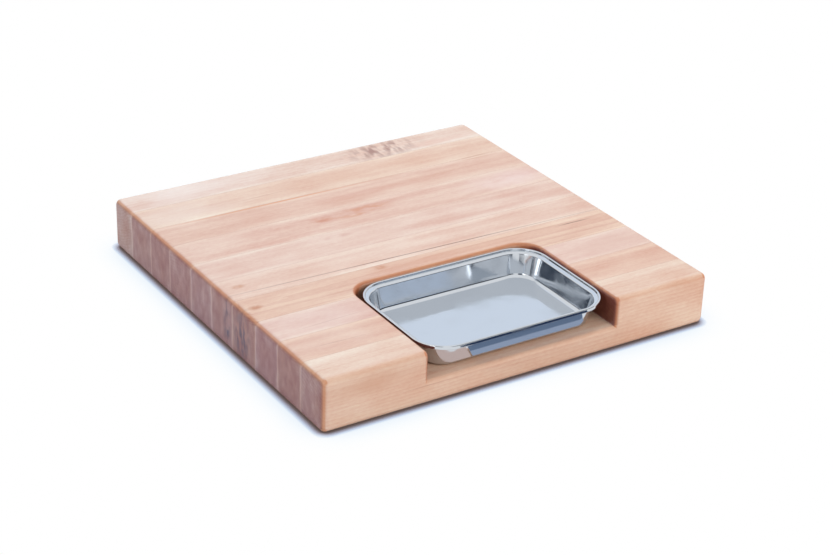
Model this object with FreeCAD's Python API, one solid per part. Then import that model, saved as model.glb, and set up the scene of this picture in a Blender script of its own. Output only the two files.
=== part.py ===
"""Maple cutting board with a steel drip pan that slides in a pocket at its front.

Units are millimetres.  +Z is up.  The origin is the middle of the underside,
the front of the board, where the pocket opens, faces -Y, and the staves run
along X.  The board is ten maple staves glued edge to edge.  Each stave and
each glue film is a solid of its own, and the pan is one pressed sheet.
"""
import FreeCAD, Part
import math
import os

# --- board -------------------------------------------------------------
BOARD_WIDTH = 457.2            # 18 in along the staves (X)
BOARD_DEPTH = 457.2            # 18 in across the staves (Y)
BOARD_THICKNESS = 57.15        # 2 1/4 in
EDGE_RADIUS = 6.35             # 1/4 in round-over on the twelve outer edges
# widths of the staves as they were ripped, from the back of the board to the front
STAVE_WIDTHS = [43.6, 47.7, 45.6, 49.0, 46.0, 45.0, 48.4, 45.0, 45.0, 41.9]
GLUE_FILM = 0.2                # thickness of the adhesive between two staves

# --- pocket for the pan ------------------------------------------------
POCKET_WIDTH = 223.4           # between the two side walls
POCKET_CENTRE_X = -0.4         # routed by hand, a little left of the middle
POCKET_REACH = 154.9           # from the front face to the back wall
POCKET_DEPTH = 31.75           # 1 1/4 in down from the top face
POCKET_CORNER_RADIUS = 24.0    # the two inside corners at the back
POCKET_EDGE_RADIUS = 4.5       # round-over along the pocket's edges

# --- pan ---------------------------------------------------------------
PAN_WIDTH = 219.7              # over the rim (X)
PAN_DEPTH = 152.3              # over the rim (Y)
PAN_CORNER_RADIUS = 35.5       # rim corners, seen from above
PAN_CENTRE_X = 0.8             # the pan stands a little to the right in its pocket
PAN_BACK_GAP = 0.3             # rim to the back wall of the pocket
PAN_FLOOR_GAP = 0.2            # underside of the pan to the pocket floor
PAN_HEIGHT = 28.7              # underside to the top of the rim
SHEET = 0.8                    # stainless sheet
LIP_RADIUS = 1.3               # outside radius at the top and the bottom of the folded lip
LIP_DROP = 2.1                 # straight outer side of the lip, between the two
LIP_END = -150.0               # where the fold ends, in degrees below the outward side
LIP_TURN = 172.0               # where the lip turns straight down on its inner side, above it
LIP_INNER_DROP = 1.0           # straight inner side of the lip
GROOVE_RADIUS = 0.6            # groove between the lip and the flare
FLARE_DIP = 14.0               # the flare falls towards the pan by this many degrees
FLARE_BEND = 1.6               # outside radius where the flare turns into the wall
WALL_LEAN = 15.0               # the walls lean outwards from upright by this many degrees
WALL_INSET = 12.0              # rim edge to the inside of the wall, where the bottom bend begins
BOTTOM_BEND = 6.0              # outside radius between wall and bottom

# --- values that follow from those above -------------------------------
FRONT = -BOARD_DEPTH / 2
HALF_WIDTH = BOARD_WIDTH / 2
POCKET_FLOOR = BOARD_THICKNESS - POCKET_DEPTH
POCKET_BACK = FRONT + POCKET_REACH
PAN_Z = POCKET_FLOOR + PAN_FLOOR_GAP
RIM_Z = PAN_Z + PAN_HEIGHT
RIM_BACK = POCKET_BACK - PAN_BACK_GAP
RIM_FRONT = RIM_BACK - PAN_DEPTH
CLEAR = 20.0                   # how far cutting bodies reach past the board

UP = FreeCAD.Vector(0, 0, 1)


def vec(x, y, z=0.0):
    """A point or a direction."""
    return FreeCAD.Vector(x, y, z)


def line(start, end):
    """A straight edge."""
    return Part.LineSegment(start, end).toShape()


def arc(centre, radius, start_angle, end_angle):
    """An arc in the XY plane, between two angles in degrees."""
    middle_angle = (start_angle + end_angle) / 2
    points = []
    for angle in (start_angle, middle_angle, end_angle):
        turn = math.radians(angle)
        points.append(centre + vec(radius * math.cos(turn), radius * math.sin(turn)))
    return Part.Arc(*points).toShape()


def at_height(edge, z):
    """True if every end of the edge lies at the given height."""
    return all(abs(vertex.Z - z) < 1e-6 for vertex in edge.Vertexes)


# --- the board ---------------------------------------------------------
def pocket_outline(front_reach, radius_at_front):
    """The pocket seen from above, open past the front face.

    With radius_at_front the two front ends of the walls flare out in an arc.
    """
    half = POCKET_WIDTH / 2
    corner = POCKET_CORNER_RADIUS
    bend_y = POCKET_BACK - corner
    flare_y = FRONT + radius_at_front
    flare_x = half + radius_at_front
    edges = [
        line(vec(half, flare_y), vec(half, bend_y)),
        arc(vec(half - corner, bend_y), corner, 0, 90),
        line(vec(half - corner, POCKET_BACK), vec(corner - half, POCKET_BACK)),
        arc(vec(corner - half, bend_y), corner, 90, 180),
        line(vec(-half, bend_y), vec(-half, flare_y)),
    ]
    if radius_at_front > 0:
        edges.append(arc(vec(-flare_x, flare_y), radius_at_front, 0, -90))
    edges.append(line(vec(-flare_x, FRONT), vec(-flare_x, front_reach)))
    edges.append(line(vec(-flare_x, front_reach), vec(flare_x, front_reach)))
    edges.append(line(vec(flare_x, front_reach), vec(flare_x, FRONT)))
    if radius_at_front > 0:
        edges.append(arc(vec(flare_x, flare_y), radius_at_front, 270, 180))
    outline = Part.Face(Part.Wire(edges))
    outline.translate(vec(POCKET_CENTRE_X, 0))
    return outline


def floor_edge_cutter():
    """What the router takes off the front edge of the pocket floor."""
    radius = POCKET_EDGE_RADIUS
    reach = POCKET_WIDTH / 2 + radius
    corner = vec(POCKET_CENTRE_X - reach, FRONT, POCKET_FLOOR)
    low = corner + vec(0, 0, -radius)
    back = corner + vec(0, radius, 0)
    centre = corner + vec(0, radius, -radius)
    middle = centre + vec(0, -math.sin(math.pi / 4), math.cos(math.pi / 4)) * radius
    rounded = Part.Arc(back, middle, low).toShape()
    outside_low = low + vec(0, -CLEAR, 0)
    outside_top = outside_low + vec(0, 0, radius + 1)
    top = back + vec(0, 0, 1)
    section = Part.Wire([
        rounded,
        line(low, outside_low),
        line(outside_low, outside_top),
        line(outside_top, top),
        line(top, back),
    ])
    strip = Part.Face(section).extrude(vec(2 * reach, 0, 0))
    flared = pocket_outline(FRONT - CLEAR, radius)
    flared.translate(vec(0, 0, POCKET_FLOOR - 2 * radius))
    return strip.common(flared.extrude(UP * 4 * radius))


def board_blank():
    """The glued-up board as one block, rounded over, pocketed and rounded again."""
    block = Part.makeBox(BOARD_WIDTH, BOARD_DEPTH, BOARD_THICKNESS, vec(-HALF_WIDTH, FRONT, 0))
    block = block.makeFillet(EDGE_RADIUS, block.Edges)
    pocket = pocket_outline(FRONT - CLEAR, 0.0)
    pocket.translate(vec(0, 0, POCKET_FLOOR))
    block = block.cut(pocket.extrude(UP * (POCKET_DEPTH + CLEAR)))
    block = block.makeFillet(POCKET_EDGE_RADIUS, [e for e in block.Edges if rounds_pocket(e)])
    return block.cut(floor_edge_cutter())


def rounds_pocket(edge):
    """True for the pocket's top edges and the front edges of its two side walls."""
    middle = edge.valueAt((edge.FirstParameter + edge.LastParameter) / 2)
    off_centre = abs(middle.x - POCKET_CENTRE_X)
    on_wall = abs(off_centre - POCKET_WIDTH / 2) < 1e-3
    in_outline = off_centre < POCKET_WIDTH / 2 + 1e-3 and middle.y < POCKET_BACK + 1e-3
    at_top = in_outline and at_height(edge, BOARD_THICKNESS)
    at_front = on_wall and middle.y < FRONT + EDGE_RADIUS and middle.z > POCKET_FLOOR + 1e-3
    return at_top or at_front


def slab(blank, high_y, low_y):
    """The part of the board between two planes across Y."""
    tall = BOARD_THICKNESS + 2 * CLEAR
    wide = BOARD_WIDTH + 2 * CLEAR
    corner = vec(-wide / 2, low_y, -CLEAR)
    return blank.common(Part.makeBox(wide, high_y - low_y, tall, corner))


def board_pieces():
    """The staves and the glue films between them, from the back to the front."""
    blank = board_blank()
    pieces = {}
    high = BOARD_DEPTH / 2 + CLEAR
    joint = BOARD_DEPTH / 2
    for number, width in enumerate(STAVE_WIDTHS, start=1):
        joint -= width
        last = number == len(STAVE_WIDTHS)
        low = FRONT - CLEAR if last else joint + GLUE_FILM / 2
        pieces["stave_%02d" % number] = slab(blank, high, low)
        if not last:
            high = joint - GLUE_FILM / 2
            pieces["glue_line_%02d" % number] = slab(blank, low, high)
    return pieces


# --- the pan -----------------------------------------------------------
# The section is drawn in the XZ plane.  X runs from the axis of a rim corner
# towards the rim edge, so the same section turns round the corners and runs
# along the sides.  An inset is measured inwards from the rim edge.
def section_point(inset, height):
    """A point of the section."""
    return vec(PAN_CORNER_RADIUS - inset, 0, height)


def around(centre, radius, angle):
    """A point on a circle of the section; 0 degrees points outwards, 90 up."""
    turn = math.radians(angle)
    return centre + vec(radius * math.cos(turn), 0, radius * math.sin(turn))


def bend(centre, radius, start_angle, end_angle):
    """An arc of the section."""
    points = []
    for angle in (start_angle, (start_angle + end_angle) / 2, end_angle):
        points.append(around(centre, radius, angle))
    return Part.Arc(*points).toShape()


def meet(start, direction, other_start, other_direction):
    """Where two lines of the section cross."""
    gap = other_start - start
    cross = direction.x * other_direction.z - direction.z * other_direction.x
    distance = (gap.x * other_direction.z - gap.z * other_direction.x) / cross
    return start + direction * distance


def pan_section():
    """The pan's pressed section, from the middle of the bottom to the folded lip."""
    wall_side = 180 - WALL_LEAN
    flare_side = 90 + FLARE_DIP
    lean = math.radians(WALL_LEAN)
    dip = math.radians(FLARE_DIP)
    up_wall = vec(math.sin(lean), 0, math.cos(lean))
    up_flare = vec(math.cos(dip), 0, math.sin(dip))

    bottom_axis = section_point(WALL_INSET + BOTTOM_BEND - SHEET, PAN_Z + BOTTOM_BEND)
    lip_axis = section_point(LIP_RADIUS, RIM_Z - LIP_RADIUS)
    lip_foot_axis = lip_axis + vec(0, 0, -LIP_DROP)
    inner_fall = around(vec(0, 0), LIP_INNER_DROP, LIP_TURN + 90)
    groove_axis = around(lip_axis + inner_fall, LIP_RADIUS + GROOVE_RADIUS, LIP_TURN)
    inner_wall = around(bottom_axis, BOTTOM_BEND - SHEET, -WALL_LEAN)
    upper_flare = around(groove_axis, GROOVE_RADIUS, flare_side + 180)
    corner = meet(inner_wall, up_wall, upper_flare, up_flare)
    # both skins of the bend below the flare turn about the same axis
    half_turn = math.radians(wall_side - flare_side) / 2
    bisector = (up_flare - up_wall).normalize()
    flare_axis = corner + bisector * (FLARE_BEND / math.cos(half_turn))

    skins = []
    for lip, groove, flare, bottom in (
        (LIP_RADIUS, GROOVE_RADIUS, FLARE_BEND, BOTTOM_BEND - SHEET),
        (LIP_RADIUS - SHEET, GROOVE_RADIUS + SHEET, FLARE_BEND - SHEET, BOTTOM_BEND),
    ):
        low = section_point(PAN_CORNER_RADIUS, PAN_Z + BOTTOM_BEND - bottom)
        skins.append([
            line(low, around(bottom_axis, bottom, -90)),
            bend(bottom_axis, bottom, -90, -WALL_LEAN),
            line(around(bottom_axis, bottom, -WALL_LEAN), around(flare_axis, flare, wall_side)),
            bend(flare_axis, flare, wall_side, flare_side),
            line(around(flare_axis, flare, flare_side), around(groove_axis, groove, flare_side + 180)),
            bend(groove_axis, groove, flare_side + 180, LIP_TURN + 180),
            line(around(groove_axis, groove, LIP_TURN + 180), around(lip_axis, lip, LIP_TURN)),
            bend(lip_axis, lip, LIP_TURN, 0),
            line(around(lip_axis, lip, 0), around(lip_foot_axis, lip, 0)),
            bend(lip_foot_axis, lip, 0, LIP_END),
        ])
    lip_end = line(around(lip_foot_axis, LIP_RADIUS, LIP_END),
                   around(lip_foot_axis, LIP_RADIUS - SHEET, LIP_END))
    middle = line(section_point(PAN_CORNER_RADIUS, PAN_Z),
                  section_point(PAN_CORNER_RADIUS, PAN_Z + SHEET))
    return Part.Face(Part.Wire(Part.sortEdges(skins[0] + skins[1] + [lip_end, middle])[0]))


def pan():
    """The pan: the section turned round four corners, drawn along four sides,
    and closed by the flat bottom."""
    section = pan_section()
    half_x = PAN_WIDTH / 2 - PAN_CORNER_RADIUS
    half_y = PAN_DEPTH / 2 - PAN_CORNER_RADIUS
    centre = vec(PAN_CENTRE_X, (RIM_BACK + RIM_FRONT) / 2, 0)
    parts = []
    # (axis of the corner, heading of its first side, length of the side that follows)
    corners = [
        (vec(half_x, half_y), 0, 2 * half_x),
        (vec(-half_x, half_y), 90, 2 * half_y),
        (vec(-half_x, -half_y), 180, 2 * half_x),
        (vec(half_x, -half_y), 270, 2 * half_y),
    ]
    for axis, heading, side in corners:
        turned = section.copy()
        turned.rotate(vec(0, 0, 0), UP, heading)
        turned.translate(centre + axis)
        parts.append(turned.revolve(centre + axis, UP, 90))
        straight = section.copy()
        straight.rotate(vec(0, 0, 0), UP, heading + 90)
        straight.translate(centre + axis)
        away = math.radians(heading + 180)
        parts.append(straight.extrude(vec(math.cos(away), math.sin(away)) * side))
    plate = Part.makeBox(2 * half_x, 2 * half_y, SHEET, centre + vec(-half_x, -half_y, PAN_Z))
    whole = plate.fuse(parts).removeSplitter()
    return whole.Solids[0]


def export(name, shape):
    """Check one piece, write it, and say how big it is."""
    if not shape.isValid():
        raise ValueError(name + " is not a valid shape")
    if len(shape.Solids) != 1:
        raise ValueError(name + " has %d solids" % len(shape.Solids))
    solid = shape.Solids[0]
    solid.exportStep("parts/" + name + ".step")
    box = solid.BoundBox
    print("%-14s %9.1f mm3  x %.2f..%.2f  y %.2f..%.2f  z %.2f..%.2f" % (
        name, solid.Volume, box.XMin, box.XMax, box.YMin, box.YMax, box.ZMin, box.ZMax))


os.makedirs("parts", exist_ok=True)
for piece_name, piece in board_pieces().items():
    export(piece_name, piece)
export("pan", pan())
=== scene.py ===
"""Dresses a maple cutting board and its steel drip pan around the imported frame.

The board is ten oiled maple staves and nine glue films, which keep their CAD
meshes and get their wood from node materials.  The pan is modelled here as one
smooth sheet.  Lengths whose names end in mm are millimetres, and every Blender
length is metres, in the part's own frame: +Z up, the pocket open towards -Y.
"""
import logging
import math
from dataclasses import dataclass, field
from enum import Enum
from typing import Optional, Union

import bmesh
import bpy
from mathutils import Matrix, Vector


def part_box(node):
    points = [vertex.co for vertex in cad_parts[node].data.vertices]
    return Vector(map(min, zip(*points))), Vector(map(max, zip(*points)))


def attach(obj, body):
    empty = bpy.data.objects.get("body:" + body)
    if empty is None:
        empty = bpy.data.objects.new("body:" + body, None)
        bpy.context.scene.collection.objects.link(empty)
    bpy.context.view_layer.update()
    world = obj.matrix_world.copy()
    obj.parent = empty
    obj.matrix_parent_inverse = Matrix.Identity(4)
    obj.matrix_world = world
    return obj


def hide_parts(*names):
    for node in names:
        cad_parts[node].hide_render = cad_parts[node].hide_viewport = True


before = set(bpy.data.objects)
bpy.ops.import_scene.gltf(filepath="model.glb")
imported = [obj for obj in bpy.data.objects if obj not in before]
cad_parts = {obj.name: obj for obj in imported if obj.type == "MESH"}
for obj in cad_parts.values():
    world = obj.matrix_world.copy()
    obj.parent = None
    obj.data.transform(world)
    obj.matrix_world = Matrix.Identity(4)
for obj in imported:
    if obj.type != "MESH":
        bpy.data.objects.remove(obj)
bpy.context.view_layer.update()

log = logging.getLogger("cutting_board")

MM = 0.001
Colour = tuple[float, float, float, float]
Socket = bpy.types.NodeSocket
Link = Union[Socket, float, tuple[float, ...]]

# settings that many nodes share
SMOOTH = {"interpolation_type": "SMOOTHSTEP"}
MULTIPLY = {"operation": "MULTIPLY"}
MULTIPLY_ADD = {"operation": "MULTIPLY_ADD"}
SUBTRACT = {"operation": "SUBTRACT"}
COLOURS = {"data_type": "RGBA"}
TINT = {"data_type": "RGBA", "blend_type": "MULTIPLY"}
# a Mix node's two colour inputs and its colour output, which have no name of their own
MIX_A, MIX_B, MIX_OUT = 6, 7, 2


# --- small tools ---
def srgb(code: str) -> Colour:
    """Turns an sRGB hex colour into Blender's linear one.

    Args:
        code: Six hex digits with a leading #.

    Returns:
        Linear red, green, blue and an alpha of 1.
    """
    channels = [int(code[at:at + 2], 16) / 255 for at in (1, 3, 5)]
    # the standard's curve: a short straight foot, then a power
    linear = [c / 12.92 if c <= 0.04045 else ((c + 0.055) / 1.055) ** 2.4 for c in channels]
    return (*linear, 1.0)


def add_node(
    tree: bpy.types.NodeTree,
    kind: str,
    settings: Optional[dict[str, object]] = None,
    inputs: Optional[dict[Union[str, int], Link]] = None,
) -> bpy.types.Node:
    """Adds one node with its settings, values and links.

    Args:
        tree: The node tree that gets the node.
        kind: The node's type without its ShaderNode prefix.
        settings: Attributes to set, by name.
        inputs: What goes into each input, by name or number: a value or an output.

    Returns:
        The new node.
    """
    node = tree.nodes.new("ShaderNode" + kind)
    for name, value in (settings or {}).items():
        setattr(node, name, value)
    for name, value in (inputs or {}).items():
        if isinstance(value, Socket):
            tree.links.new(value, node.inputs[name])
        else:
            node.inputs[name].default_value = value
    return node


def greatest(tree: bpy.types.NodeTree, *values: Socket) -> Socket:
    """The greatest of several values.

    Args:
        tree: The node tree that they are in.
        values: Two or more outputs.

    Returns:
        The output with the greatest of them.
    """
    most = values[0]
    for value in values[1:]:
        most = add_node(tree, "Math", {"operation": "MAXIMUM"}, {0: most, 1: value}).outputs[0]
    return most


def sizes(tree: bpy.types.NodeTree, vector: Socket) -> bpy.types.bpy_prop_collection:
    """The outputs X, Y and Z of a vector without their signs."""
    unsigned = add_node(tree, "VectorMath", {"operation": "ABSOLUTE"}, {0: vector})
    return add_node(tree, "SeparateXYZ", None, {0: unsigned.outputs["Vector"]}).outputs


def new_material(name: str) -> tuple[bpy.types.Material, bpy.types.NodeTree]:
    """Makes an empty node material.

    Args:
        name: The material's name.

    Returns:
        The material and its cleared node tree.
    """
    material = bpy.data.materials.new(name)
    material.use_nodes = True
    material.node_tree.nodes.clear()
    return material, material.node_tree


def per_metre(*sizes_mm: float) -> tuple[float, ...]:
    """Pattern scales, in repeats per metre, for feature sizes in millimetres."""
    return tuple(1.0 / (size * MM) for size in sizes_mm)


def dress(piece: bpy.types.Object, material: bpy.types.Material) -> None:
    """Gives a piece one finish over its whole surface.

    Args:
        piece: The mesh object.
        material: Its only material.
    """
    piece.data.materials.clear()
    piece.data.materials.append(material)


# --- maple ---
class FigureKind(Enum):
    """What interrupts the plain grain of a stave."""

    KNOT = "pin knot"
    STREAK = "mineral streak"
    BLOTCH = "heartwood blush"
    PATCH = "paler or warmer wood"
    CURL = "curly figure"
    STAIN = "mineral stain"
    # a routed wall darkens partly with soaked oil and partly with painted shade in the pocket
    ROUTED = "routed wall"


@dataclass(frozen=True)
class Grain:
    """Irregular grain in lumps of one length, width and depth.

    Detail is how many octaves of finer lumps it has, and roughness how strong
    they are.  Weight is how much the grain darkens the wood.
    """

    size_mm: tuple[float, float, float]
    detail: float = 2.0
    roughness: float = 0.6
    weight: float = 0.0


@dataclass(frozen=True)
class Figure:
    """One mark in the wood, as an ellipsoid that fades out at its edge.

    Sizes are half lengths in millimetres, and slope turns it in the top face.
    A routed wall is a box instead, spares the flat top around it, and carries painted shade as
    well as soaked oil.
    """

    kind: FigureKind
    centre_mm: tuple[float, float, float]
    half_mm: tuple[float, float, float]
    colour: str
    strength: float
    slope_deg: float = 0.0


@dataclass(frozen=True)
class OiledMaple:
    """Hard maple, planed, sanded and oiled.

    The wood is worked out in space, so the same growth rings run as faint lines
    along the faces and cross the end grain.  Oil soaks into cut fibre ends,
    which are darker and browner, and warms the rounded edges.
    """

    name: str
    pale: str
    dark: str
    pith_mm: tuple[float, float]
    ring_mm: float
    band_mm: float
    turn_deg: float
    seed: float
    figures: tuple[Figure, ...] = ()
    end: str = "#b08d96"
    long_edge: float = 0.15
    ring_depth: float = 0.14

    def material(self, low_y: float, high_y: float) -> bpy.types.Material:
        """Builds the stave's material.

        Args:
            low_y: Place of its front joint, or far off where it has none.
            high_y: Place of its back joint, likewise.

        Returns:
            A new node material.
        """
        material, tree = new_material(self.name)
        place = add_node(tree, "TexCoord").outputs
        MapleDrawing(self, tree, place["Object"], place["Normal"]).draw(low_y, high_y)
        return material


@dataclass(frozen=True)
class MapleDrawing:
    """The wood of one stave, drawn in its material's tree.

    The point is Object coordinates, and the normal is in object space too.
    """

    maple: OiledMaple
    tree: bpy.types.NodeTree
    point: Socket
    normal: Socket

    # one shrinkage of the log along X makes rings into long straight grain
    GRAIN_STRETCH = 0.05
    # a ring texture of scale 1 repeats every 2 pi / 20 units
    RING_TURNS = 2 * math.pi / 20
    # where plain wood lies between the pale and the dark colour, and how far it strays
    MIDDLE_DARKNESS = 0.40
    DARKNESS_RANGE = (-0.7, 1.5)
    # bands of a few years' growth, soft clouds and streaks in their colour
    BAND_LENGTH_MM, BAND_DEPTH_MM, BAND_WEIGHT = 330.0, 45.0, 0.85
    CLOUD = Grain((75.0, 25.0, 34.0), roughness=0.5, weight=1.35)
    STREAK = Grain((70.0, 3.2, 4.0), weight=0.28)
    # pores 0.1 mm wide and ray flecks 1 mm long, both drawn coarser so that they show
    FIBRE = Grain((30.0, 0.8, 0.8), weight=0.38)
    SPECK = Grain((5.5, 1.8, 1.8), weight=0.75)
    # the paler wood beside a joint comes and goes along it
    FADING = Grain((110.0, 12.0, 40.0))
    JOINT_GLOW_WEIGHT = -0.42
    # how far from a joint the pale strip begins, and where it is full
    JOINT_GLOW_MM = (11.0, 1.0)
    SEALED_MM = (2.4, 0.5)
    # end grain soaks up oil in patches, less where glue seals it
    SOAKED = Grain((60.0, 10.0, 18.0), detail=4.0, roughness=0.65)
    RING_SOAK = 0.06
    SEALED_SOAK = -0.27
    # the router chatters along the pocket's rim
    CHATTER = Grain((2.6, 2.6, 9.0))
    CHATTER_DEPTH = 0.16
    EDGE_OIL = "#ecc2a2"
    # a figure keeps its full strength in this share of its radius
    FIGURE_CORE = 0.15
    LUMPS = {
        FigureKind.BLOTCH: Grain((24.0, 10.0, 20.0), roughness=0.55),
        FigureKind.CURL: Grain((9.0, 26.0, 60.0), roughness=0.55),
        FigureKind.STAIN: Grain((60.0, 6.0, 13.0), roughness=0.55),
    }

    def draw(self, low_y: float, high_y: float) -> None:
        """Draws the whole wood, from the plain grain to the oiled edges.

        Args:
            low_y: Place of the front joint, or far off where there is none.
            high_y: Place of the back joint, likewise.
        """
        rings = self._rings()
        fibre = self._grain(self.FIBRE)
        glow = self._beside_joints(low_y, high_y, self.JOINT_GLOW_MM)
        colour = self._face_colour(rings, fibre, glow)
        for number, figure in enumerate(self.maple.figures):
            colour = self._mark(colour, figure, number)
        sealed = self._beside_joints(low_y, high_y, self.SEALED_MM)
        colour = self._end_grain(colour, rings, sealed)
        colour = self._rounded_edges(colour)
        roughness = add_node(self.tree, "MapRange", None, {
            "Value": fibre, "From Min": 0.3, "From Max": 0.7, "To Min": 0.40, "To Max": 0.52,
        })
        bump = add_node(self.tree, "Bump", None, {
            "Height": fibre, "Strength": 0.25, "Distance": 0.06 * MM,
        })
        shader = add_node(self.tree, "BsdfPrincipled", None, {
            "Base Color": colour,
            "Roughness": roughness.outputs["Result"],
            "IOR": 1.5,
            "Normal": bump.outputs["Normal"],
        })
        add_node(self.tree, "OutputMaterial", None, {"Surface": shader.outputs["BSDF"]})

    def _grain(self, grain: Grain) -> Socket:
        """Draws one grain, at a place in the log that is this stave's own.

        Args:
            grain: Its lumps.

        Returns:
            The grain from 0 to 1.
        """
        scaled = add_node(self.tree, "Mapping", None, {
            "Vector": self.point,
            "Location": (self.maple.seed, 2 * self.maple.seed, 3 * self.maple.seed),
            "Scale": per_metre(*grain.size_mm),
        })
        noise = add_node(self.tree, "TexNoise", None, {
            "Vector": scaled.outputs["Vector"],
            "Scale": 1.0,
            "Detail": grain.detail,
            "Roughness": grain.roughness,
        })
        return noise.outputs["Fac"]

    def _rings(self) -> Socket:
        """Growth rings round the log's pith, which lies along X.

        Returns:
            0 in the wide early wood, rising to 1 at each thin late-wood line.
        """
        pith_y, pith_z = self.maple.pith_mm
        from_pith = add_node(self.tree, "Mapping", {"vector_type": "POINT"}, {
            "Vector": self.point,
            "Location": (self.maple.seed, -pith_y * MM, -pith_z * MM),
            "Rotation": (0.0, 0.0, math.radians(self.maple.turn_deg)),
            "Scale": (self.GRAIN_STRETCH, 1.0, 1.0),
        })
        wave = add_node(self.tree, "TexWave", {
            "wave_type": "RINGS",
            "rings_direction": "X",
            "wave_profile": "SAW",
        }, {
            "Vector": from_pith.outputs["Vector"],
            "Scale": self.RING_TURNS / (self.maple.ring_mm * MM),
            "Distortion": 14.0,
            "Detail": 3.0,
            "Detail Scale": 0.2,
            "Detail Roughness": 0.6,
        })
        late = add_node(self.tree, "MapRange", SMOOTH, {
            "Value": wave.outputs["Fac"], "From Min": 0.35, "From Max": 1.0,
        })
        return late.outputs["Result"]

    def _face_colour(self, rings: Socket, fibre: Socket, glow: Socket) -> Socket:
        """Colour of the long faces: broad bands, clouds, streaks, fibres and specks.

        Args:
            rings: Late-wood lines.
            fibre: Fine fibres.
            glow: The paler wood beside the joints.

        Returns:
            The colour output.
        """
        band_mm = (self.BAND_LENGTH_MM, self.maple.band_mm, self.BAND_DEPTH_MM)
        band = Grain(band_mm, detail=1.0, roughness=0.5, weight=self.BAND_WEIGHT)
        layers = [
            (self._grain(band), band.weight),
            (self._grain(self.CLOUD), self.CLOUD.weight),
            (self._grain(self.STREAK), self.STREAK.weight),
            (fibre, self.FIBRE.weight),
            (self._grain(self.SPECK), self.SPECK.weight),
            (rings, self.maple.ring_depth),
        ]
        fading = add_node(self.tree, "MapRange", SMOOTH, {
            "Value": self._grain(self.FADING),
            "From Min": 0.35, "From Max": 0.65, "To Min": 0.35, "To Max": 1.0,
        })
        faded = add_node(self.tree, "Math", MULTIPLY, {0: glow, 1: fading.outputs["Result"]})
        layers.append((faded.outputs[0], self.JOINT_GLOW_WEIGHT))
        amount: Link = self.MIDDLE_DARKNESS
        for layer, weight in layers:
            centred = add_node(self.tree, "Math", SUBTRACT, {0: layer, 1: 0.5})
            amount = add_node(self.tree, "Math", MULTIPLY_ADD, {
                0: centred.outputs[0], 1: weight, 2: amount,
            }).outputs[0]
        least, most = self.DARKNESS_RANGE
        amount = add_node(self.tree, "Clamp", None, {
            "Value": amount, "Min": least, "Max": most,
        }).outputs["Result"]
        wood = add_node(self.tree, "Mix", {**COLOURS, "clamp_factor": False}, {
            "Factor": amount, MIX_A: srgb(self.maple.pale), MIX_B: srgb(self.maple.dark),
        })
        return wood.outputs[MIX_OUT]

    def _mark(self, colour: Socket, figure: Figure, number: int) -> Socket:
        """Lays one figure over the wood.

        Args:
            colour: The colour so far.
            figure: What to lay over it.
            number: The figure's place in the list, which varies how it breaks up.

        Returns:
            The colour with the figure.
        """
        inside = add_node(self.tree, "Mapping", {"vector_type": "TEXTURE"}, {
            "Vector": self.point,
            "Location": tuple(c * MM for c in figure.centre_mm),
            "Rotation": (0.0, 0.0, math.radians(figure.slope_deg)),
            "Scale": tuple(h * MM for h in figure.half_mm),
        }).outputs["Vector"]
        if figure.kind is FigureKind.ROUTED:
            return self._routed_and_shaded(inside, colour, figure)
        distance = add_node(self.tree, "VectorMath", {"operation": "LENGTH"}, {0: inside})
        # each figure breaks up in lumps of another length, and none thinner than 1 mm
        long, wide, deep = figure.half_mm
        lump_mm = (long * (0.5 + 0.07 * number), max(wide, 1.0), max(deep, 1.0))
        breakup = self._grain(Grain(lump_mm, detail=3.0))
        soft = add_node(self.tree, "MapRange", SMOOTH, {
            "Value": distance.outputs["Value"],
            "From Min": self.FIGURE_CORE, "From Max": 1.0,
            "To Min": figure.strength, "To Max": 0.0,
        }).outputs["Result"]
        broken = add_node(self.tree, "MapRange", SMOOTH, {
            "Value": breakup, "From Min": 0.25, "From Max": 0.6, "To Min": 0.25, "To Max": 1.0,
        }).outputs["Result"]
        if figure.kind in self.LUMPS:
            # these fall apart into lumps whose places and widths wander
            lumps = self._grain(self.LUMPS[figure.kind])
            broken = add_node(self.tree, "MapRange", SMOOTH, {
                "Value": lumps, "From Min": 0.38, "From Max": 0.62,
            }).outputs["Result"]
        factor = add_node(self.tree, "Math", MULTIPLY, {0: soft, 1: broken})
        marked = add_node(self.tree, "Mix", COLOURS, {
            "Factor": factor.outputs[0], MIX_A: colour, MIX_B: srgb(figure.colour),
        })
        return marked.outputs[MIX_OUT]

    def _routed_and_shaded(self, inside: Socket, colour: Socket, figure: Figure) -> Socket:
        """Darkens the walls of the pocket: partly oil that the routed wood soaked up, partly
        painted shade in the recess, strongest on the side walls in shadow.

        Args:
            inside: Place in the figure's box, from -1 to 1 each way.
            colour: The colour so far.
            figure: The box, its colour and its strength.

        Returns:
            The colour with the routed walls.
        """
        axes = sizes(self.tree, inside)
        reach = greatest(self.tree, axes["X"], axes["Y"], axes["Z"])
        within = add_node(self.tree, "MapRange", SMOOTH, {
            "Value": reach, "From Min": 0.985, "From Max": 1.0,
            "To Min": figure.strength, "To Max": 0.0,
        }).outputs["Result"]
        facing = add_node(self.tree, "SeparateXYZ", None, {0: self.normal}).outputs
        chatter = self._grain(self.CHATTER)
        edge = add_node(self.tree, "Math", MULTIPLY_ADD, {
            0: chatter, 1: self.CHATTER_DEPTH, 2: facing["Z"],
        }).outputs[0]
        not_top = add_node(self.tree, "MapRange", None, {
            "Value": edge, "From Min": 1.06, "From Max": 0.10, "To Min": 0.0, "To Max": 1.0,
        }).outputs["Result"]
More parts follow.
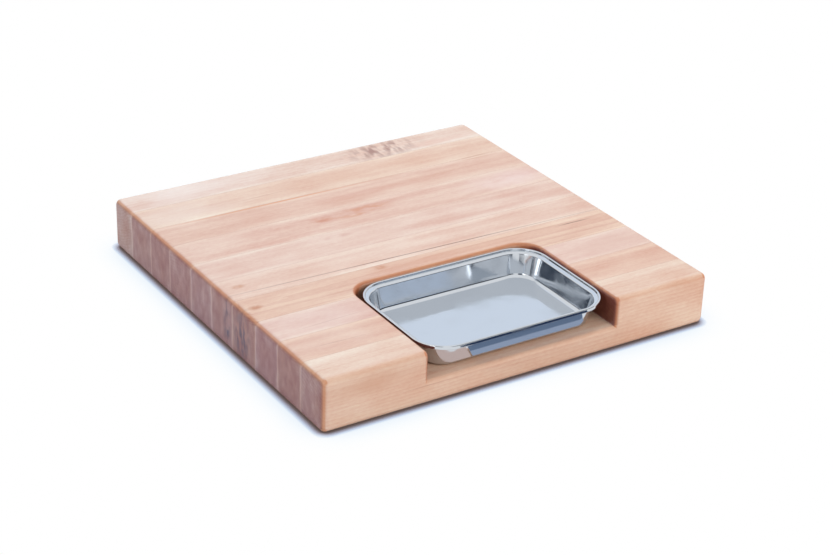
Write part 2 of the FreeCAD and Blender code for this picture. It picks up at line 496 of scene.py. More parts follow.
        # painted shade: the back wall, which faces the front light, darkens less than the
        # end-grain side walls, which stand in shadow
        across = add_node(self.tree, "Math", {"operation": "ABSOLUTE"}, {0: facing["Y"]})
        end_grain = add_node(self.tree, "MapRange", None, {
            "Value": across.outputs[0],
            "From Min": 0.3, "From Max": 0.9, "To Min": 1.0, "To Max": 0.35,
        }).outputs["Result"]
        cut = add_node(self.tree, "Math", MULTIPLY, {0: not_top, 1: end_grain})
        factor = add_node(self.tree, "Math", MULTIPLY, {0: within, 1: cut.outputs[0]})
        routed = add_node(self.tree, "Mix", TINT, {
            "Factor": factor.outputs[0], MIX_A: colour, MIX_B: srgb(figure.colour),
        })
        return routed.outputs[MIX_OUT]

    def _beside_joints(
        self, low_y: float, high_y: float, fade_mm: tuple[float, float]
    ) -> Socket:
        """A strip along both joints, where glue keeps the oil out of the fibres.

        Args:
            low_y: Place of the front joint.
            high_y: Place of the back joint.
            fade_mm: How far from a joint the strip begins, and where it is full.

        Returns:
            0 in the stave's middle, rising to 1 at its joints.
        """
        across = add_node(self.tree, "SeparateXYZ", None, {0: self.point}).outputs["Y"]
        from_low = add_node(self.tree, "Math", SUBTRACT, {0: across, 1: low_y})
        from_high = add_node(self.tree, "Math", SUBTRACT, {0: high_y, 1: across})
        inward = add_node(self.tree, "Math", {"operation": "MINIMUM"}, {
            0: from_low.outputs[0], 1: from_high.outputs[0],
        })
        return add_node(self.tree, "MapRange", SMOOTH, {
            "Value": inward.outputs[0],
            "From Min": fade_mm[0] * MM,
            "From Max": fade_mm[1] * MM,
        }).outputs["Result"]

    def _end_grain(self, colour: Socket, rings: Socket, sealed: Socket) -> Socket:
        """Darkens the faces that cut across the fibres.

        Args:
            colour: The colour so far.
            rings: Late-wood lines.
            sealed: Fibres at the joints that glue keeps pale.

        Returns:
            The colour with end grain.
        """
        across = add_node(self.tree, "MapRange", SMOOTH, {
            "Value": sizes(self.tree, self.normal)["X"], "From Min": 0.66, "From Max": 0.985,
        }).outputs["Result"]
        patches = self._grain(self.SOAKED)
        soak = add_node(self.tree, "MapRange", None, {
            "Value": patches, "From Min": 0.3, "From Max": 0.7, "To Min": 0.72, "To Max": 1.06,
        }).outputs["Result"]
        ringed = add_node(self.tree, "Math", MULTIPLY_ADD, {
            0: rings, 1: self.RING_SOAK, 2: soak,
        }).outputs[0]
        soaked = add_node(self.tree, "Math", MULTIPLY_ADD, {
            0: sealed, 1: self.SEALED_SOAK, 2: ringed,
        }).outputs[0]
        factor = add_node(self.tree, "Math", {**MULTIPLY, "use_clamp": True}, {
            0: across, 1: soaked,
        }).outputs[0]
        darkened = add_node(self.tree, "Mix", TINT, {
            "Factor": factor, MIX_A: colour, MIX_B: srgb(self.maple.end),
        })
        return darkened.outputs[MIX_OUT]

    def _rounded_edges(self, colour: Socket) -> Socket:
        """Warms the rounded edges, most where they cut the fibres and drink oil.

        Args:
            colour: The colour so far.

        Returns:
            The colour with warm edges.
        """
        axes = sizes(self.tree, self.normal)
        level = greatest(self.tree, axes["Z"], axes["X"], axes["Y"])
        between = add_node(self.tree, "MapRange", SMOOTH, {
            "Value": level, "From Min": 0.99, "From Max": 0.80, "To Min": 0.0, "To Max": 0.9,
        }).outputs["Result"]
        weight = add_node(self.tree, "MapRange", None, {
            "Value": axes["X"],
            "From Min": 0.08, "From Max": 0.22, "To Min": self.maple.long_edge, "To Max": 1.0,
        }).outputs["Result"]
        factor = add_node(self.tree, "Math", MULTIPLY, {0: between, 1: weight})
        warmed = add_node(self.tree, "Mix", TINT, {
            "Factor": factor.outputs[0], MIX_A: colour, MIX_B: srgb(self.EDGE_OIL),
        })
        return warmed.outputs[MIX_OUT]


@dataclass(frozen=True)
class WoodGlue:
    """Cured wood glue, sanded flush: a thin line a shade browner than the maple."""

    colour: str = "#c89a7e"
    shade: str = "#a87658"
    mottle_mm: float = 12.0

    def material(self) -> bpy.types.Material:
        """Builds the glue's material, mottled along the joint.

        Returns:
            A new node material.
        """
        material, tree = new_material("wood_glue_sanded_flush")
        point = add_node(tree, "TexCoord").outputs["Object"]
        noise = add_node(tree, "TexNoise", None, {
            "Vector": point, "Scale": per_metre(self.mottle_mm)[0], "Detail": 3.0,
        })
        mottled = add_node(tree, "Mix", COLOURS, {
            "Factor": noise.outputs["Fac"], MIX_A: srgb(self.colour), MIX_B: srgb(self.shade),
        })
        shader = add_node(tree, "BsdfPrincipled", None, {
            "Base Color": mottled.outputs[MIX_OUT], "Roughness": 0.4, "IOR": 1.48,
        })
        add_node(tree, "OutputMaterial", None, {"Surface": shader.outputs["BSDF"]})
        return material


@dataclass(frozen=True)
class PolishedStainless:
    """304 stainless sheet, deep drawn and polished almost to a mirror.

    Handling leaves cloudy patches, which blur the reflections here and there,
    and the drawing leaves the sheet a little wavy.
    """

    colour: str = "#cfd4da"
    smudge_mm: float = 34.0
    wave_mm: float = 26.0

    def material(self) -> bpy.types.Material:
        """Builds the steel's material.

        Returns:
            A new node material.
        """
        material, tree = new_material("stainless_steel_polished")
        point = add_node(tree, "TexCoord").outputs["Object"]
        smudges = add_node(tree, "TexNoise", None, {
            "Vector": point, "Scale": per_metre(self.smudge_mm)[0], "Detail": 4.0,
            "Roughness": 0.6,
        })
        roughness = add_node(tree, "MapRange", SMOOTH, {
            "Value": smudges.outputs["Fac"],
            "From Min": 0.42, "From Max": 0.68, "To Min": 0.07, "To Max": 0.20,
        })
        waves = add_node(tree, "TexNoise", None, {
            "Vector": point, "Scale": per_metre(self.wave_mm)[0], "Detail": 1.0,
        })
        bump = add_node(tree, "Bump", None, {
            "Height": waves.outputs["Fac"], "Strength": 0.3, "Distance": 0.6 * MM,
        })
        shader = add_node(tree, "BsdfPrincipled", None, {
            "Base Color": srgb(self.colour),
            "Metallic": 1.0,
            "Roughness": roughness.outputs["Result"],
            "Normal": bump.outputs["Normal"],
        })
        add_node(tree, "OutputMaterial", None, {"Surface": shader.outputs["BSDF"]})
        return material


# --- the board ---
KNOT, STREAK, BLOTCH, PATCH, CURL, STAIN, ROUTED = FigureKind
# the height of the marks that show on the top
TOP_MM = 57.0
# a figure's values are its kind, centre, half lengths, colour, strength and slope
# the pocket's walls darken partly with soaked oil and partly with painted shade in the recess
POCKET_WALLS_SOAKED_AND_SHADED = Figure(ROUTED, (-0.4, -153, 56), (116.4, 88, 29.6), "#bd8a70", 0.95)
# the ten staves, from the back of the board to its front
STAVES = (
    OiledMaple(
        "maple_01_creamy_sapwood", "#f1e0ce", "#dcb49c", pith_mm=(250, 150),
        ring_mm=3.2, band_mm=17, turn_deg=0.5, seed=1.3, figures=(
            Figure(CURL, (100, 206, TOP_MM), (66, 30, 30), "#a97f70", 1, 3),
            Figure(PATCH, (170, 196, TOP_MM), (60, 10, 30), "#e4b9a2", 0.5),
            Figure(PATCH, (-160, 208, TOP_MM), (150, 36, 20), "#f4e6d9", 0.55),
        ), end="#c4acaa",
    ),
    OiledMaple(
        "maple_02_straight_grained", "#eed6bd", "#dbae93", pith_mm=(170, -60),
        ring_mm=2.6, band_mm=12, turn_deg=-0.4, seed=2.7, figures=(
            Figure(STREAK, (183, 138.5, TOP_MM), (48, 2, 20), "#c98e6c", 0.7, 1.5),
            Figure(STREAK, (-70, 158, TOP_MM), (90, 1.2, 20), "#c99578", 0.5, 2),
            Figure(PATCH, (-185, 160, TOP_MM), (110, 34, 20), "#f0dfcf", 0.45),
            Figure(PATCH, (60, 160, TOP_MM), (170, 26, 20), "#dfb294", 0.35),
        ),
    ),
    OiledMaple(
        "maple_03_rosy", "#eacdb6", "#d8a88f", pith_mm=(90, 190),
        ring_mm=2.9, band_mm=14, turn_deg=0.7, seed=3.9, figures=(
            Figure(STREAK, (186, 133, TOP_MM), (42, 2.2, 20), "#cf9877", 0.6, -1),
            Figure(STREAK, (-70, 135.7, TOP_MM), (190, 2.3, 20), "#dc9668", 0.95),
            Figure(PATCH, (20, 112, TOP_MM), (95, 11, 20), "#d49a82", 0.45, 1),
        ),
    ),
    OiledMaple(
        "maple_04_blushed", "#edd4be", "#daab94", pith_mm=(60, -140),
        ring_mm=3.4, band_mm=15, turn_deg=0.3, seed=5.2, figures=(
            Figure(BLOTCH, (-8, 73, TOP_MM), (46, 15, 14), "#d3906a", 0.85, 4),
            Figure(BLOTCH, (-56, 73, TOP_MM), (24, 10, 14), "#cd8666", 0.8, -3),
            Figure(BLOTCH, (-120, 60, TOP_MM), (40, 7, 12), "#d19c84", 0.45),
            Figure(PATCH, (180, 66, TOP_MM), (80, 30, 20), "#f4e0d6", 0.6),
        ),
    ),
    OiledMaple(
        "maple_05_pale", "#eed7c3", "#dcb19b", pith_mm=(12, 210),
        ring_mm=2.7, band_mm=11, turn_deg=-0.6, seed=6.4, figures=(
            Figure(BLOTCH, (-62, 30, TOP_MM), (26, 6, 10), "#cf957f", 0.5),
        ),
    ),
    OiledMaple(
        "maple_06_pale_quartered", "#efd8c3", "#ddb29a", pith_mm=(-20, -95),
        ring_mm=2.4, band_mm=13, turn_deg=0.4, seed=7.7, figures=(
            Figure(KNOT, (-208, -22, TOP_MM), (11, 6, 9), "#c98a62", 0.65),
            Figure(STREAK, (-5, -41.4, TOP_MM), (330, 1.2, 60), "#8a4f38", 0.95, -1.3),
            Figure(STAIN, (-228.6, -37, 26), (14, 10, 40), "#6a6780", 0.85),
        ),
    ),
    OiledMaple(
        "maple_07_mineral", "#ebcdb2", "#d9a98f", pith_mm=(-60, 170),
        ring_mm=2.3, band_mm=10, turn_deg=-0.5, seed=8.5, figures=(
            Figure(KNOT, (-60, -54, TOP_MM), (12, 6.5, 9), "#c58058", 0.7),
            Figure(KNOT, (-214, -70, TOP_MM), (12, 6.5, 9), "#c07a52", 0.75),
            Figure(STREAK, (178, -61.5, TOP_MM), (30, 1.5, 16), "#7d4b3a", 0.9, -1),
            Figure(STREAK, (120, -57.5, TOP_MM), (95, 1.1, 20), "#bb7a5c", 0.6, -1),
            Figure(PATCH, (10, -58, TOP_MM), (150, 14, 16), "#d69a7a", 0.4),
            Figure(STAIN, (-228.6, -68, 28), (14, 24, 38), "#6c6982", 0.85),
            POCKET_WALLS_SOAKED_AND_SHADED,
        ), long_edge=0.9, ring_depth=0.40,
    ),
    OiledMaple(
        "maple_08_pinkish", "#edd4c1", "#dcb09d", pith_mm=(-118, -150),
        ring_mm=3.1, band_mm=16, turn_deg=0.6, seed=9.6, figures=(
            Figure(STREAK, (-160, -128, TOP_MM), (60, 0.9, 20), "#b98069", 0.5, 3),
            Figure(PATCH, (-180, -120, TOP_MM), (90, 30, 20), "#f0dfd4", 0.25),
            Figure(PATCH, (185, -122, TOP_MM), (90, 30, 20), "#dcb6a2", 0.45),
            POCKET_WALLS_SOAKED_AND_SHADED,
        ),
    ),
    OiledMaple(
        "maple_09_straight_grained", "#eccfb6", "#d9a88e", pith_mm=(-165, 140),
        ring_mm=2.6, band_mm=12, turn_deg=-0.3, seed=10.8, figures=(
            Figure(STREAK, (-175, -168, TOP_MM), (45, 1, 18), "#b67c62", 0.55, -2),
            Figure(PATCH, (-180, -164, TOP_MM), (90, 30, 20), "#eed8c8", 0.30),
            POCKET_WALLS_SOAKED_AND_SHADED,
        ),
    ),
    OiledMaple(
        "maple_10_front_sapwood", "#f1dec8", "#dfb69b", pith_mm=(-150, -120),
        ring_mm=3.6, band_mm=15, turn_deg=0.5, seed=12.1, figures=(
            Figure(STREAK, (-100, -228.6, 21), (60, 10, 1), "#c08c70", 0.5),
            Figure(PATCH, (-165, -228.6, 42), (110, 8, 18), "#cf9a78", 0.5),
            POCKET_WALLS_SOAKED_AND_SHADED,
        ), ring_depth=0.20,
    ),
)


@dataclass
class Board:
    """The maple staves and the glue between them, on the CAD nodes."""

    # an outer face has no joint, so its strip of sealed wood is put this far off
    FAR_OFF_M = 1.0

    staves: tuple[OiledMaple, ...] = STAVES
    glue: WoodGlue = WoodGlue()

    def build(self) -> None:
        """Dresses every stave and glue film of the board."""
        for number, maple in enumerate(self.staves, start=1):
            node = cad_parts[f"stave_{number:02d}"]
            low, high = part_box(node.name)
            front = low[1] if number < len(self.staves) else low[1] - self.FAR_OFF_M
            back = high[1] if number > 1 else high[1] + self.FAR_OFF_M
            dress(node, maple.material(front, back))
            log.info("%s is %s", node.name, maple.name)
        glue = self.glue.material()
        for number in range(1, len(self.staves)):
            dress(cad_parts[f"glue_line_{number:02d}"], glue)
        log.info("%d glue films", len(self.staves) - 1)


# --- the pan ---
@dataclass
class DripPan:
    """The pressed pan: a folded lip, a groove, a flare, steep walls and a flat bottom.

    The flare is the nearly level strip between the groove and the walls.  The
    section of the upper skin is drawn at one corner, spun round the corner, drawn
    along the side, and so on round the rim.  Angles of the section count from
    outwards over up.
    """

    name: str = "drip_pan"
    node: str = "pan"
    sheet_mm: float = 0.8
    corner_mm: float = 35.5
    lip_mm: float = 1.3
    lip_drop_mm: float = 2.1
    lip_end_deg: float = -150.0
    lip_turn_deg: float = 172.0
    lip_inner_drop_mm: float = 1.0
    groove_mm: float = 0.6
    flare_dip_deg: float = 14.0
    flare_bend_mm: float = 1.6
    wall_lean_deg: float = 15.0
    wall_inset_mm: float = 12.0
    bottom_bend_mm: float = 6.0
    finish: PolishedStainless = PolishedStainless()
    corner_axis: Vector = field(init=False)
    side: Vector = field(init=False)
    low_z: float = field(init=False)
    high_z: float = field(init=False)

    # how many edges each bend of the section has, and each corner of the rim
    LIP_FOOT_STEPS, LIP_STEPS, GROOVE_STEPS, FLARE_STEPS, BOTTOM_STEPS = 14, 18, 5, 7, 12
    CORNER_STEPS = 32
    # points closer than this are one
    TOUCHING_MM = 0.01
    # a border round the flat bottom keeps its shading level
    BOTTOM_BORDER_MM = 4.0
    SMOOTH_BELOW_DEG = 50.0

    def build(self) -> bpy.types.Object:
        """Models, dresses and places the pan.

        Returns:
            The pan's object, which replaces its CAD node.
        """
        low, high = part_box(self.node)
        corner = self.corner_mm * MM
        self.corner_axis = Vector((high[0] - corner, high[1] - corner, 0.0))
        self.side = Vector((
            high[0] - low[0] - 2 * corner, high[1] - low[1] - 2 * corner, 0.0,
        ))
        self.low_z, self.high_z = low[2], high[2]
        pan = self._section()
        self._sweep()
        self._close_bottom(pan)
        self._give_thickness(pan)
        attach(pan, "pan")
        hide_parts(self.node)
        dress(pan, self.finish.material())
        return pan

    def _on_section(self, inset_mm: float, height: float) -> Vector:
        """A point of the section in the plane through the corner axis."""
        return self.corner_axis + Vector(((self.corner_mm - inset_mm) * MM, 0.0, height))

    @staticmethod
    def _towards(angle_deg: float) -> Vector:
        """A direction in the section, of length 1."""
        angle = math.radians(angle_deg)
        return Vector((math.cos(angle), 0.0, math.sin(angle)))

    def _around(self, centre: Vector, radius_mm: float, angle_deg: float) -> Vector:
        """A point on a circle of the section."""
        return centre + self._towards(angle_deg) * radius_mm * MM

    def _section(self) -> bpy.types.Object:
        """Draws the section, from the folded lip down to the rim of the flat bottom.

        Returns:
            The new object, in edit mode, with the whole section selected.
        """
        flare_side = 90 + self.flare_dip_deg
        wall_side = 180 - self.wall_lean_deg
        lip_axis = self._on_section(self.lip_mm, self.high_z - self.lip_mm * MM)
        lip_foot_axis = lip_axis - Vector((0.0, 0.0, self.lip_drop_mm * MM))
        lip_inside = self._around(lip_axis, self.lip_mm, self.lip_turn_deg)
        lip_foot = self._around(lip_inside, self.lip_inner_drop_mm, self.lip_turn_deg + 90)
        groove_axis = self._around(lip_foot, self.groove_mm, self.lip_turn_deg)
        bottom_axis = self._on_section(
            self.wall_inset_mm + self.bottom_bend_mm - self.sheet_mm,
            self.low_z + self.bottom_bend_mm * MM,
        )
        bottom_mm = self.bottom_bend_mm - self.sheet_mm
        flare_head = self._around(groove_axis, self.groove_mm, flare_side + 180)
        wall_foot = self._around(bottom_axis, bottom_mm, wall_side + 180)
        up_wall = self._towards(wall_side - 90)
        up_flare = self._towards(flare_side - 90)
        # the corner where the wall and the flare would meet without their bend
        gap = flare_head - wall_foot
        cross = up_wall.x * up_flare.z - up_wall.z * up_flare.x
        corner = wall_foot + up_wall * ((gap.x * up_flare.z - gap.z * up_flare.x) / cross)
        half_turn = math.radians(wall_side - flare_side) / 2
        from_corner = self.flare_bend_mm * MM / math.cos(half_turn)
        flare_axis = corner + (up_flare - up_wall).normalized() * from_corner

        lip_end = self._around(lip_foot_axis, self.lip_mm, self.lip_end_deg)
        bpy.ops.object.select_all(action="DESELECT")
        bpy.ops.mesh.primitive_plane_add(size=self.lip_mm * MM, location=lip_end)
        pan = bpy.context.object
        pan.name = self.name
        bpy.ops.object.transform_apply(location=True, rotation=True, scale=True)
        bpy.ops.object.mode_set(mode="EDIT")
        # the plane shrinks to the one point where the fold of the lip ends
        bpy.ops.mesh.select_all(action="SELECT")
        bpy.ops.mesh.merge(type="CENTER")
        self._spin(lip_foot_axis, -self.lip_end_deg, self.LIP_FOOT_STEPS)
        self._draw_to(pan, self._around(lip_axis, self.lip_mm, 0.0))
        self._spin(lip_axis, self.lip_turn_deg, self.LIP_STEPS)
        self._draw_to(pan, lip_foot)
        self._spin(groove_axis, flare_side - self.lip_turn_deg, self.GROOVE_STEPS)
        self._draw_to(pan, self._around(flare_axis, self.flare_bend_mm, flare_side))
        self._spin(flare_axis, wall_side - flare_side, self.FLARE_STEPS)
        self._draw_to(pan, wall_foot)
        self._spin(bottom_axis, 90 - wall_side, self.BOTTOM_STEPS)
        bpy.ops.mesh.select_all(action="SELECT")
        return pan

    def _spin(self, centre: Vector, turn_deg: float, steps: int) -> None:
        """Draws an arc from the selected point in the section's plane.

        Args:
            centre: The arc's centre.
            turn_deg: How far it turns, where outwards to up is positive.
            steps: How many edges it has.
        """
        # the operator turns against the right-hand rule about its axis
        axis = (0.0, math.copysign(1.0, turn_deg), 0.0)
        angle = math.radians(abs(turn_deg))
        bpy.ops.mesh.spin(steps=steps, angle=angle, center=centre, axis=axis)

    def _draw_to(self, pan: bpy.types.Object, target: Vector) -> None:
        """Draws a straight edge from the selected point.

        Args:
            pan: The pan, in edit mode.
            target: Where the edge ends.
        """
        mesh = bmesh.from_edit_mesh(pan.data)
        here = next(v.co.copy() for v in mesh.verts if v.select)
        bpy.ops.mesh.extrude_region_move(TRANSFORM_OT_translate={"value": target - here})

    def _sweep(self) -> None:
        """Takes the section round the four corners and along the four sides."""
        half = self.side / 2
        middle = self.corner_axis - half
        corners = ((1, 1, (-1, 0)), (-1, 1, (0, -1)), (-1, -1, (1, 0)), (1, -1, (0, 1)))
        for sign_x, sign_y, (along_x, along_y) in corners:
            axis = middle + Vector((sign_x * half.x, sign_y * half.y, 0.0))
            bpy.ops.mesh.spin(
                steps=self.CORNER_STEPS, angle=math.pi / 2, center=axis, axis=(0.0, 0.0, -1.0)
            )
            step = Vector((along_x * self.side.x, along_y * self.side.y, 0.0))
            bpy.ops.mesh.extrude_region_move(TRANSFORM_OT_translate={"value": step})
        bpy.ops.mesh.select_all(action="SELECT")
        bpy.ops.mesh.remove_doubles(threshold=self.TOUCHING_MM * MM)

    def _close_bottom(self, pan: bpy.types.Object) -> None:
        """Fills the flat bottom and turns every face up and out.

        Args:
            pan: The pan, in edit mode.
        """
        floor_z = self.low_z + self.sheet_mm * MM
        bpy.ops.mesh.select_all(action="DESELECT")
        bpy.ops.mesh.select_mode(type="EDGE")
        mesh = bmesh.from_edit_mesh(pan.data)
        for edge in mesh.edges:
            at_floor = all(abs(v.co.z - floor_z) < self.TOUCHING_MM * MM for v in edge.verts)
            edge.select = at_floor and len(edge.link_faces) == 1
        bmesh.update_edit_mesh(pan.data)
        bpy.ops.mesh.edge_face_add()
        bpy.ops.mesh.select_mode(type="FACE")
        bpy.ops.mesh.inset(thickness=self.BOTTOM_BORDER_MM * MM, depth=0.0)
        bpy.ops.mesh.select_all(action="SELECT")
        bpy.ops.mesh.normals_make_consistent(inside=False)
        mesh = bmesh.from_edit_mesh(pan.data)
        bottom = max(mesh.faces, key=lambda face: face.calc_area())
        if bottom.normal.z < 0:
            bpy.ops.mesh.flip_normals()
        bpy.ops.object.mode_set(mode="OBJECT")

    def _give_thickness(self, pan: bpy.types.Object) -> None:
        """Thickens the skin to the sheet and smooths its shading.

        Args:
            pan: The pan, in object mode.
        """
        solidify = pan.modifiers.new("sheet", "SOLIDIFY")
        solidify.thickness = self.sheet_mm * MM
        solidify.offset = -1.0
        solidify.use_even_offset = True
        bpy.ops.object.modifier_apply(modifier=solidify.name)
        bpy.ops.object.shade_smooth_by_angle(angle=math.radians(self.SMOOTH_BELOW_DEG))
        weighted = pan.modifiers.new("flat_faces_stay_flat", "WEIGHTED_NORMAL")
        weighted.keep_sharp = True
        bpy.ops.object.modifier_apply(modifier=weighted.name)


# --- the studio ---
def aimed(place: Vector, aim: Vector) -> Matrix:
    """Stands an object at a place with its -Z side towards a point.

    Args:
        place: Where it stands.
        aim: What it faces.

    Returns:
        Its world matrix.
    """
    turn = (aim - place).to_track_quat("-Z", "Y")
    return Matrix.Translation(place) @ turn.to_matrix().to_4x4()


@dataclass(frozen=True)
class Lamp:
    """A square soft box that faces the board, sized in metres and powered in watts."""

    name: str
    place: tuple[float, float, float]
    size: float
    power: float
    colour: str

    def build(self) -> None:
        """Hangs the lamp, out of sight of the metal."""
        data = bpy.data.lights.new(self.name, "AREA")
        data.size = self.size
        data.energy = self.power
        data.color = srgb(self.colour)[:3]
        lamp = bpy.data.objects.new(self.name, data)
        lamp.matrix_world = aimed(Vector(self.place), Vector((0.0, 0.0, 0.0)))
        lamp.visible_glossy = False
        bpy.context.scene.collection.objects.link(lamp)


@dataclass(frozen=True)
class Card:
    """A glowing card that only polished metal sees: a painted reflection, which lights
    nothing.

    Its middle stands at the place, in metres, and its size is its width and
    height.  A strength of 1 glows as white as the background.
    """

    name: str
    place: tuple[float, float, float]
    size: tuple[float, float]
    colour: str
    strength: float = 1.0

    # what a standing card faces
    PAN = (0.0, -0.15, 0.04)

    def build(self, lying: bool = False) -> None:
        """Stands the card towards the pan, or lays it face up.

        Args:
            lying: Whether it lies.
        """
        place = Vector(self.place)
        aim = place + Vector((0.0, 0.0, 1.0)) if lying else Vector(self.PAN)
        bpy.ops.object.select_all(action="DESELECT")
        bpy.ops.mesh.primitive_plane_add(size=1.0)
        card = bpy.context.object
        card.name = self.name
        card.matrix_world = aimed(place, aim) @ Matrix.Diagonal((*self.size, 1.0, 1.0))
        material, tree = new_material(self.name + "_glow")
        glow = add_node(tree, "Emission", None, {
            "Color": srgb(self.colour), "Strength": self.strength,
        })
        add_node(tree, "OutputMaterial", None, {"Surface": glow.outputs[0]})
        card.data.materials.append(material)
        card.visible_camera = False
        card.visible_diffuse = False
        card.visible_shadow = False


# a large key light above and behind on the right, a warm fill and a cool window
LAMPS = (
    Lamp("key_light", (0.75, 1.05, 1.55), 1.3, 15.6, "#ecf3ff"),
    Lamp("front_fill", (0.5, -1.9, 0.9), 1.2, 16.5, "#ffdec6"),
    Lamp("left_window", (-1.5, 0.5, 1.05), 0.9, 11.2, "#c6dcff"),
)
# glowing cards round the board that paint the pan's reflections: dark flags, a pale sky and a
# bright window glint
STANDING_CARDS = (
    Card("card_back_left", (-1.5, 1.0, 0.32), (3.4, 0.75), "#4a505c"),
    Card("card_front_right", (0.95, -1.75, 0.62), (2.7, 1.1), "#3a404b"),
    Card("card_front_left", (-1.45, -1.7, 0.95), (1.0, 1.6), "#555d69"),
    Card("card_sky", (1.1, 1.7, 1.25), (2.6, 1.5), "#e4ecf7", 1.15),
    Card("card_window", (-1.57, -1.05, 0.54), (0.5, 0.6), "#ffffff", 3.0),
)
# small glowing cards on the floor and on the pocket's front ledge that only the metal sees:
# they paint reflections into the pan's front wall, dark ones for the shaded floor and ledge in
# front of it, pale ones for a pinkish reflection and a highlight at its corners
LYING_CARDS = (
    Card("card_painted_floor_shade", (0.055, -0.276, 0.0005), (0.17, 0.088), "#33425c"),
    Card("card_painted_ledge_shade", (0.020, -0.2256, 0.0262), (0.140, 0.0060), "#71829c"),
    Card("card_painted_ledge_shade_pale", (0.020, -0.2197, 0.0262), (0.140, 0.0058), "#a6b3ca"),
    Card("card_painted_left_corner_reflection", (-0.083, -0.2226, 0.0262), (0.062, 0.0122), "#dfc6bd"),
    Card("card_painted_right_corner_highlight", (0.103, -0.2240, 0.0262), (0.026, 0.0090), "#f2f5fa", 1.1),
)
# painted shade on the floor, from places in the board's corner to open ones
CONTACT_SHADE = (
    (0.38, "#70594f"), (0.55, "#8c7b79"), (0.68, "#b4aebb"),
    (0.82, "#d4d8e6"), (0.94, "#ecf4fd"), (1.0, "#ffffff"),
)
# a wider, fainter painted shade round the board
WIDE_SHADE = ((0.35, "#d6e4f3"), (0.58, "#ecf4fc"), (0.78, "#fafdff"), (0.95, "#ffffff"))


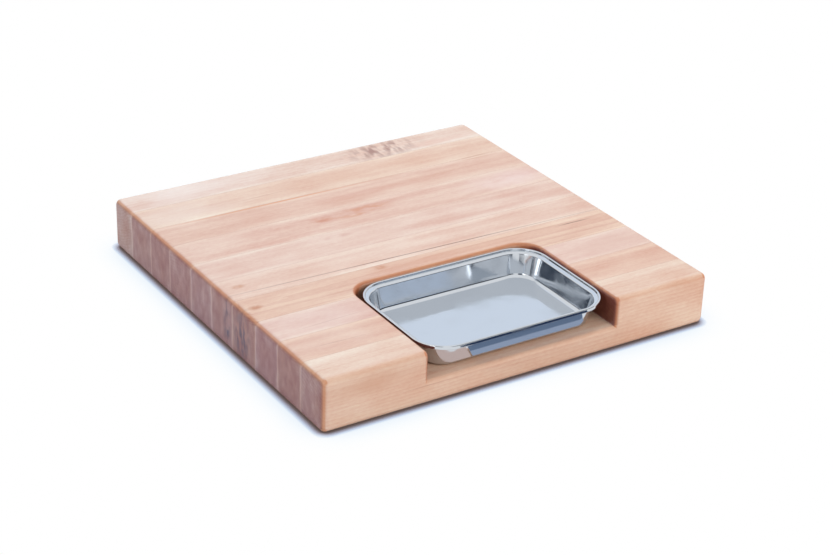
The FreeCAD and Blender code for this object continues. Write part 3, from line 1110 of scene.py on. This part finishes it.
@dataclass
class Studio:
    """A pale floor, soft lights, reflection cards and the camera."""

    floor_m: float = 14.0
    floor_colour: str = "#e6e8ee"
    horizon: str = "#8d93a0"
    zenith: str = "#eceef2"
    ambient: float = 0.75
    lens_mm: float = 85.92
    target_mm: tuple[float, float, float] = (-8.85, -43.2, 28.0)
    azimuth_deg: float = -33.14
    elevation_deg: float = 27.04
    roll_deg: float = 1.98
    distance_mm: float = 2085.6
    clip_m: tuple[float, float] = (0.05, 60.0)

    # how far from the board the painted shade on the floor reaches, darkly and faintly
    CONTACT_MM, AROUND_MM = 9.0, 42.0
    # the floor lies this far below the board, so that their faces don't fight
    BELOW_BOARD_MM = 0.2

    def build(self) -> None:
        """Sets up everything that isn't part of the object."""
        self._world()
        self._floor()
        for light in (*LAMPS, *STANDING_CARDS):
            light.build()
        for card in LYING_CARDS:
            card.build(lying=True)
        self._camera()
        bpy.context.scene.view_settings.view_transform = "Standard"

    def _seen(self, tree: bpy.types.NodeTree) -> Socket:
        """1 for rays that show the background: from the camera, metal or glass.

        Args:
            tree: A material's or the world's tree.

        Returns:
            The factor.
        """
        rays = add_node(tree, "LightPath").outputs
        kinds = ("Is Camera Ray", "Is Glossy Ray", "Is Transmission Ray")
        return greatest(tree, *(rays[kind] for kind in kinds))

    def _world(self) -> None:
        """A white background that lights the object softly, more from above."""
        world = bpy.data.worlds.new("white_studio")
        world.use_nodes = True
        tree = world.node_tree
        tree.nodes.clear()
        direction = add_node(tree, "TexCoord").outputs["Generated"]
        height = add_node(tree, "SeparateXYZ", None, {0: direction}).outputs["Z"]
        sky = add_node(tree, "MapRange", SMOOTH, {
            "Value": height, "From Min": 0.0, "From Max": 0.8,
        })
        soft = add_node(tree, "Mix", COLOURS, {
            "Factor": sky.outputs["Result"],
            MIX_A: srgb(self.horizon), MIX_B: srgb(self.zenith),
        })
        ambient = add_node(tree, "Background", None, {
            "Color": soft.outputs[MIX_OUT], "Strength": self.ambient,
        })
        white = add_node(tree, "Background", None, {"Color": (1.0, 1.0, 1.0, 1.0)})
        mixed = add_node(tree, "MixShader", None, {
            0: self._seen(tree), 1: ambient.outputs[0], 2: white.outputs[0],
        })
        add_node(tree, "OutputWorld", None, {"Surface": mixed.outputs[0]})
        bpy.context.scene.world = world

    def _floor(self) -> None:
        """The pale floor, white apart from a soft cool shade painted round the board's foot.
        """
        bpy.ops.object.select_all(action="DESELECT")
        place = (0.0, 0.0, -self.BELOW_BOARD_MM * MM)
        bpy.ops.mesh.primitive_plane_add(size=self.floor_m, location=place)
        floor = bpy.context.object
        floor.name = "studio_floor"
        material, tree = new_material("studio_floor_white")
        contact = self._shade(tree, self.CONTACT_MM, CONTACT_SHADE)
        around = self._shade(tree, self.AROUND_MM, WIDE_SHADE)
        shade = add_node(tree, "Mix", TINT, {"Factor": 1.0, MIX_A: contact, MIX_B: around})
        glow = add_node(tree, "Emission", None, {"Color": shade.outputs[MIX_OUT]})
        diffuse = add_node(tree, "BsdfDiffuse", None, {"Color": srgb(self.floor_colour)})
        mixed = add_node(tree, "MixShader", None, {
            0: self._seen(tree), 1: diffuse.outputs[0], 2: glow.outputs[0],
        })
        add_node(tree, "OutputMaterial", None, {"Surface": mixed.outputs[0]})
        floor.data.materials.append(material)

    def _shade(
        self,
        tree: bpy.types.NodeTree,
        reach_mm: float,
        stops: tuple[tuple[float, str], ...],
    ) -> Socket:
        """Paints shade into the floor's colour by how much of the board stands near it, from
        ambient occlusion rather than a cast shadow.

        Args:
            tree: The floor's tree.
            reach_mm: How far away the board still shades the floor.
            stops: Its places on the ramp and their colours, darkest first.

        Returns:
            The colour output.
        """
        openness = add_node(tree, "AmbientOcclusion", {"samples": 12}, {
            "Distance": reach_mm * MM,
        })
        ramp = add_node(tree, "ValToRGB", None, {"Fac": openness.outputs["AO"]})
        elements = ramp.color_ramp.elements
        # a new ramp has two stops already
        for position, colour in stops[2:]:
            elements.new(position).color = srgb(colour)
        in_order = sorted(elements, key=lambda element: element.position)
        for element, (position, colour) in zip(in_order, stops):
            element.position = position
            element.color = srgb(colour)
        return ramp.outputs["Color"]

    def _camera(self) -> None:
        """The camera, turned about its own axis by the small roll."""
        data = bpy.data.cameras.new("camera")
        data.lens = self.lens_mm
        data.clip_start, data.clip_end = self.clip_m
        azimuth = math.radians(self.azimuth_deg)
        elevation = math.radians(self.elevation_deg)
        back = Vector((
            math.sin(azimuth) * math.cos(elevation),
            -math.cos(azimuth) * math.cos(elevation),
            math.sin(elevation),
        ))
        target = Vector(self.target_mm) * MM
        camera = bpy.data.objects.new("camera", data)
        upright = aimed(target + back * self.distance_mm * MM, target)
        camera.matrix_world = upright @ Matrix.Rotation(math.radians(self.roll_deg), 4, "Z")
        bpy.context.scene.collection.objects.link(camera)
        bpy.context.scene.camera = camera


def main() -> None:
    """Builds the object and its studio."""
    logging.basicConfig(level=logging.INFO, format="%(name)s: %(message)s")
    bpy.ops.object.select_all(action="DESELECT")
    Board().build()
    pan = DripPan().build()
    log.info("%s has %d faces", pan.name, len(pan.data.polygons))
    Studio().build()


if __name__ == "__main__":
    main()
